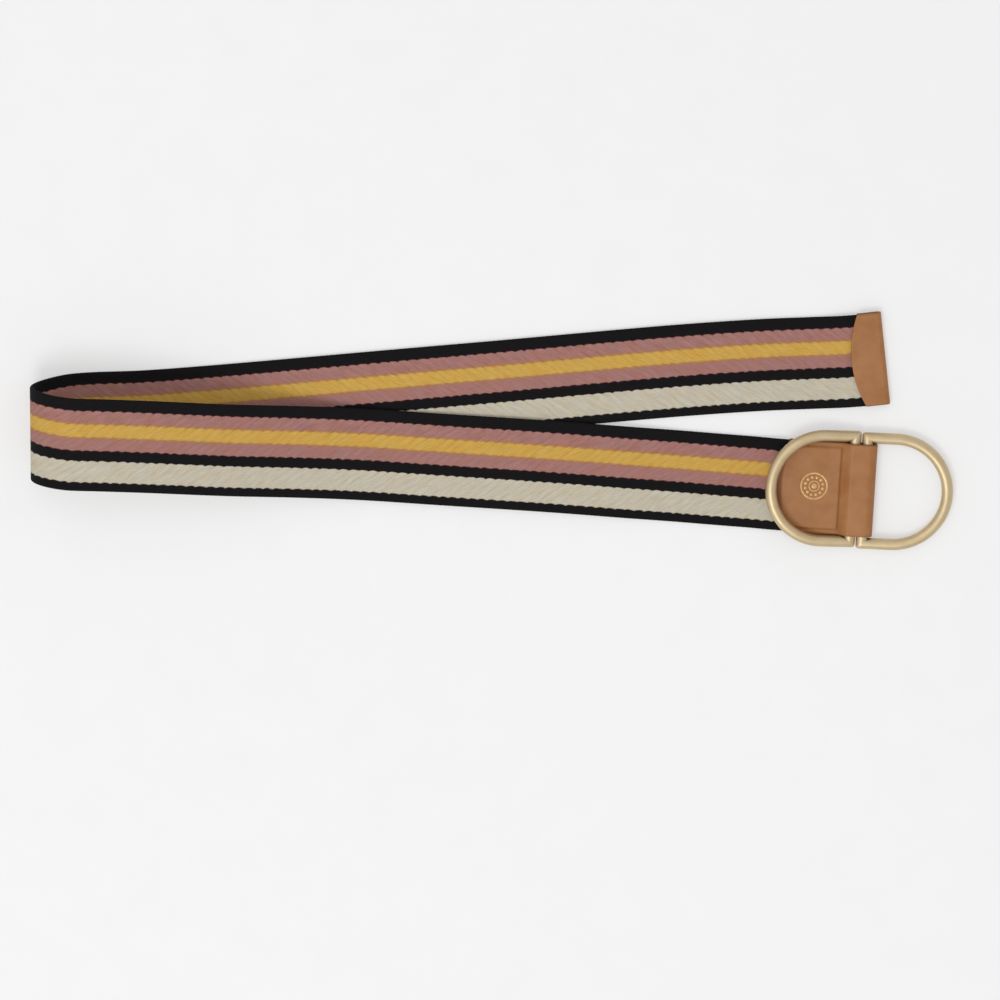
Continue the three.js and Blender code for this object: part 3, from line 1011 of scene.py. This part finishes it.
def make_rings():
    """Both D-rings at rest: the inner one back on the panel, the outer one on the table."""
    layout = Layout()
    panel_half = layout.leather_width / 2 - PANEL_SIDE_INSET
    reach = layout.arc_centre + math.sqrt(layout.ring_half**2 - panel_half**2)
    rest = layout.leaf_top + layout.lift + GAP + layout.radius - layout.bar_height
    inner = math.asin(rest / reach)
    outer = math.asin((layout.bar_height - layout.radius) / (layout.arc_centre + layout.ring_half))
    inner_place = layout.inner_bar, INNER_SLIP, inner - math.pi
    outer_place = layout.outer_bar, OUTER_SLIP, outer
    make_ring("inner_d_ring", "inner_ring", "ring_inner", *inner_place)
    make_ring("outer_d_ring", "outer_ring", "ring_outer", *outer_place)


def make_stage():
    """Pale table, soft studio light and the camera of the photograph."""
    scene, settings = bpy.context.scene, bpy.context.scene.belt_stage
    scene.view_settings.view_transform = "Standard"
    layout = Layout()
    target = layout.to_frame() @ Vector(PICTURE_MIDDLE)
    target.z = 0
    lean = settings.tilt
    data = bpy.data.cameras.new("camera")
    data.sensor_width = SENSOR_WIDTH
    data.lens = settings.pixels_per_metre * settings.distance / 1000 * data.sensor_width
    data.clip_end = 100
    camera = bpy.data.objects.new("camera", data)
    camera.location = target + settings.distance * Vector((0, math.sin(lean), math.cos(lean)))
    camera.rotation_euler = (-lean, 0, 0)
    scene.collection.objects.link(camera)
    scene.camera = camera
    n = Nodes("pale_table")
    speck = n.noise(n.object_place(), 40.0)
    tint = tuple(settings.floor)
    base = n.mix(n.range(speck, 0.3, 0.7), tint, blended(tint, (1, 1, 1), 0.02))
    n.link((1, 1, 1, 1), n.shader.inputs["Emission Color"])
    material = n.finish(base, 0.9, None, Specular_IOR_Level=0.1, Emission_Strength=settings.glow)
    reach = TABLE_REACH
    corners = [(-reach, -reach, 0), (reach, -reach, 0), (reach, reach, 0), (-reach, reach, 0)]
    floor = mesh_piece("table", corners, [(0, 1, 2, 3)])
    floor.data.materials.append(material)
    world = bpy.data.worlds.new("studio")
    world.use_nodes = True
    back = world.node_tree.nodes["Background"]
    back.inputs["Color"].default_value = (1, 1, 1, 1)
    back.inputs["Strength"].default_value = WORLD_STRENGTH
    scene.world = world
    for name, place, size, power in LIGHTS:
        light = bpy.data.lights.new(name, "AREA")
        light.shape, light.size, light.energy = "DISK", size, power
        lamp = bpy.data.objects.new(name, light)
        lamp.location = place
        lamp.rotation_euler = (-Vector(place)).to_track_quat("-Z", "Y").to_euler()
        scene.collection.objects.link(lamp)


class BELT_OT_strap(bpy.types.Operator):
    """Weave the striped strap, folded over on itself"""

    bl_idname = "belt.make_strap"
    bl_label = "Woven strap"

    def execute(self, context):
        make_strap()
        return {"FINISHED"}


class BELT_OT_tip(bpy.types.Operator):
    """Bend the leather tip round the tail's end"""

    bl_idname = "belt.make_tip"
    bl_label = "Leather tip"

    def execute(self, context):
        make_tip()
        return {"FINISHED"}


class BELT_OT_tab(bpy.types.Operator):
    """Bend the leather tab round the rings' bars and over the strap's end"""

    bl_idname = "belt.make_tab"
    bl_label = "Ring tab"

    def execute(self, context):
        make_tab()
        return {"FINISHED"}


class BELT_OT_rings(bpy.types.Operator):
    """Bend the wire of both D-rings"""

    bl_idname = "belt.make_rings"
    bl_label = "D-rings"

    def execute(self, context):
        make_rings()
        return {"FINISHED"}


class BELT_OT_ornament(bpy.types.Operator):
    """Press the small rosette into the tab's panel"""

    bl_idname = "belt.make_ornament"
    bl_label = "Rosette"

    def execute(self, context):
        make_ornament()
        return {"FINISHED"}


class BELT_OT_stage(bpy.types.Operator):
    """Set the table, the lights and the camera"""

    bl_idname = "belt.make_stage"
    bl_label = "Stage"

    def execute(self, context):
        make_stage()
        return {"FINISHED"}


class BELT_PT_panel(bpy.types.Panel):
    """Lists the belt's settings and the steps that make it"""

    bl_idname = "BELT_PT_panel"
    bl_label = "Web Belt"
    bl_space_type = "VIEW_3D"
    bl_region_type = "UI"
    bl_category = "Web Belt"

    def draw(self, context):
        for group, steps in STEPS:
            settings = getattr(context.scene, group)
            box = self.layout.box()
            for name in settings.bl_rna.properties.keys():
                if name not in ("rna_type", "name"):
                    box.prop(settings, name)
            for step in steps:
                box.operator(step.bl_idname)


SETTINGS = {
    "belt_strap": StrapSettings,
    "belt_leather": LeatherSettings,
    "belt_rings": RingSettings,
    "belt_ornament": OrnamentSettings,
    "belt_stage": StageSettings,
}
STEPS = (
    ("belt_stage", (BELT_OT_stage,)),
    ("belt_strap", (BELT_OT_strap,)),
    ("belt_leather", (BELT_OT_tip, BELT_OT_tab)),
    ("belt_rings", (BELT_OT_rings,)),
    ("belt_ornament", (BELT_OT_ornament,)),
)
OPERATORS = tuple(step for _, steps in STEPS for step in steps)


def register():
    for cls in (*SETTINGS.values(), *OPERATORS, BELT_PT_panel):
        bpy.utils.register_class(cls)
    for name, cls in SETTINGS.items():
        setattr(bpy.types.Scene, name, bpy.props.PointerProperty(type=cls))


def unregister():
    for name in SETTINGS:
        delattr(bpy.types.Scene, name)
    for cls in reversed((*SETTINGS.values(), *OPERATORS, BELT_PT_panel)):
        bpy.utils.unregister_class(cls)


def main():
    """Make the belt and its stage."""
    register()
    bpy.ops.belt.make_stage()
    bpy.ops.belt.make_strap()
    bpy.ops.belt.make_tip()
    bpy.ops.belt.make_tab()
    bpy.ops.belt.make_rings()
    bpy.ops.belt.make_ornament()


if __name__ == "__main__":
    main()
